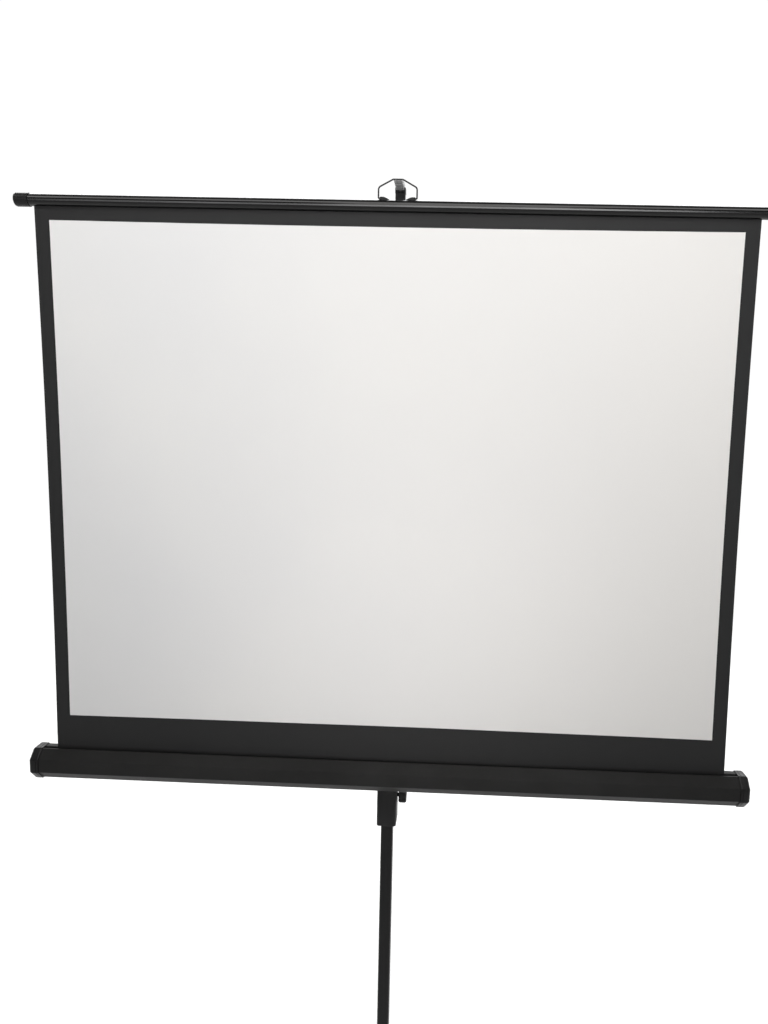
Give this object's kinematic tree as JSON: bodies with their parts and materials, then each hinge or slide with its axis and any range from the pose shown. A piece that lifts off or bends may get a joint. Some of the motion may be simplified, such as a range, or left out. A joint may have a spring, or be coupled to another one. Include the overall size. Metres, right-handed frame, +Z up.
{
  "type": "tripod projector screen",
  "caption": "Pull-up projector screen: spring-roller case on a column, extension pole with a hook arm, and folding tripod legs.",
  "frame": {"origin": "on the floor, at the middle of the whole stand's box: left and right of the column's axis, and midway between the front foot and the rear feet", "axes": "+Z up, -Y the way the screen faces, +X to the right of someone who looks at the screen"},
  "size_m": [1.417, 0.8357, 2.313],
  "materials": {
    "gloss_black_paint": "gloss black enamel",
    "satin_black_paint": "satin black powder coat",
    "case_paint": "semi-gloss black paint on sheet steel",
    "black_plastic": "fine-grained black moulded plastic",
    "grey_plastic": "grey moulded plastic",
    "black_rubber": "matte black rubber",
    "zinc_steel": "zinc-plated steel",
    "nickel_wire": "nickel-plated spring wire",
    "dark_screws": "black-oxide steel",
    "screen_sheet": "coated matte white cloth with black borders"
  },
  "bodies": {
    "stand": {"column_tube": "satin_black_paint", "column_foot_plug": "black_plastic", "column_collar": "black_plastic", "latch_spring": "zinc_steel", "leg_hub": "black_plastic", "hub_screw": "zinc_steel", "hub_rivet_1": "zinc_steel", "hub_rivet_2": "zinc_steel", "hub_rivet_3": "zinc_steel"},
    "latch": {"latch_button": "grey_plastic"},
    "slider": {"brace_slider": "black_plastic"},
    "slider_knob": {"slider_knob": "black_plastic"},
    "case": {"case_shell": "case_paint", "case_cap_left": "black_plastic", "case_cap_right": "black_plastic", "case_cap_screw_1": "dark_screws", "case_cap_screw_2": "dark_screws", "case_cap_screw_3": "dark_screws", "case_cap_screw_4": "dark_screws", "case_saddle": "zinc_steel", "saddle_rivet_1": "zinc_steel", "saddle_rivet_2": "zinc_steel", "pivot_bolt": "zinc_steel", "case_carrier": "black_plastic", "carry_handle": "black_plastic", "handle_screw_1": "dark_screws", "handle_screw_2": "dark_screws", "spring_shaft": "zinc_steel", "roller_spring": "zinc_steel", "screen_fabric": "screen_sheet"},
    "clamp_knob": {"clamp_knob": "black_plastic"},
    "roller": {"roller_tube": "zinc_steel", "roller_plug_left": "black_plastic", "roller_plug_right": "black_plastic", "roller_pin": "zinc_steel", "fabric_roll": "screen_sheet"},
    "pole": {"pole_tube": "satin_black_paint", "pole_bush": "black_plastic", "pole_plug": "black_plastic", "hook_arm": "grey_plastic", "hook_screw": "dark_screws"},
    "slat": {"slat_tube": "gloss_black_paint", "slat_cap_left": "black_plastic", "slat_cap_right": "black_plastic", "bail_ear_left": "satin_black_paint", "bail_ear_right": "satin_black_paint"},
    "bail": {"bail_wire": "nickel_wire"},
    "leg_1": {"leg_tube_1": "satin_black_paint", "leg_foot_1": "black_rubber"},
    "brace_1": {"brace_1": "zinc_steel", "brace_rivet_1": "zinc_steel"},
    "leg_2": {"leg_tube_2": "satin_black_paint", "leg_foot_2": "black_rubber"},
    "brace_2": {"brace_2": "zinc_steel", "brace_rivet_2": "zinc_steel"},
    "leg_3": {"leg_tube_3": "satin_black_paint", "leg_foot_3": "black_rubber"},
    "brace_3": {"brace_3": "zinc_steel", "brace_rivet_3": "zinc_steel"}
  },
  "joints": [
    {"name": "case_height", "type": "slide", "parent": "stand", "child": "case", "axis": [0, 0, 1], "range_m": [0, 0.06]},
    {"name": "clamp_knob_turn", "type": "hinge", "parent": "case", "child": "clamp_knob", "pos_m": [0, 0.13497, 1.09416], "axis": [1, 0, 0], "range_deg": [0, 360]},
    {"name": "pole_extend", "type": "slide", "parent": "case", "child": "pole", "axis": [0, 0, 1], "range_m": [-1.0404, 0]},
    {"name": "screen_pull", "type": "slide", "parent": "case", "child": "slat", "axis": [0, 0, 1], "range_m": [-1.0404, 0], "deforming": ["screen_fabric"]},
    {"name": "roller_spin", "type": "hinge", "parent": "case", "child": "roller", "pos_m": [0, 0.08097, 1.16916], "axis": [1, 0, 0], "range_deg": [0, 3758]},
    {"name": "bail_swing", "type": "hinge", "parent": "slat", "child": "bail", "pos_m": [0, 0.06667, 2.26776], "axis": [1, 0, 0], "range_deg": [0, 105]},
    {"name": "latch_press", "type": "slide", "parent": "stand", "child": "latch", "axis": [0, -1, 0], "range_m": [0, 0.003], "stiffness_N_per_m": 300, "deforming": ["latch_spring"]},
    {"name": "brace_slide", "type": "slide", "parent": "stand", "child": "slider", "axis": [0, 0, 1], "range_m": [-0.1272, 0]},
    {"name": "slider_knob_turn", "type": "hinge", "parent": "slider", "child": "slider_knob", "pos_m": [0, 0.13497, 0.19804], "axis": [0, 1, 0], "range_deg": [0, 360]},
    {"name": "leg_1_fold", "type": "hinge", "parent": "stand", "child": "leg_1", "pos_m": [0, 0.10297, 0.36562], "axis": [1, 0, 0], "range_deg": [0, 51]},
    {"name": "brace_1_fold", "type": "hinge", "parent": "leg_1", "child": "brace_1", "pos_m": [0, -0.0199, 0.27958], "axis": [1, 0, 0], "range_deg": [-102, 0]},
    {"name": "leg_2_fold", "type": "hinge", "parent": "stand", "child": "leg_2", "pos_m": [0.02771, 0.15097, 0.36562], "axis": [-0.5, 0.866, 0], "range_deg": [0, 51]},
    {"name": "brace_2_fold", "type": "hinge", "parent": "leg_2", "child": "brace_2", "pos_m": [0.13412, 0.21241, 0.27958], "axis": [-0.5, 0.866, 0], "range_deg": [-102, 0]},
    {"name": "leg_3_fold", "type": "hinge", "parent": "stand", "child": "leg_3", "pos_m": [-0.02771, 0.15097, 0.36562], "axis": [-0.5, -0.866, 0], "range_deg": [0, 51]},
    {"name": "brace_3_fold", "type": "hinge", "parent": "leg_3", "child": "brace_3", "pos_m": [-0.13412, 0.21241, 0.27958], "axis": [-0.5, -0.866, 0], "range_deg": [-102, 0]}
  ],
  "couplings": [
    {"joint": "screen_pull", "follows": "pole_extend", "ratio": 1},
    {"joint": "roller_spin", "follows": "pole_extend", "rad_per_m": -62.953},
    {"joint": "brace_slide", "follows": "leg_1_fold", "m_per_rad": -0.1429},
    {"joint": "brace_1_fold", "follows": "leg_1_fold", "ratio": -2},
    {"joint": "leg_2_fold", "follows": "leg_1_fold", "ratio": 1},
    {"joint": "brace_2_fold", "follows": "leg_1_fold", "ratio": -2},
    {"joint": "leg_3_fold", "follows": "leg_1_fold", "ratio": 1},
    {"joint": "brace_3_fold", "follows": "leg_1_fold", "ratio": -2}
  ]
}
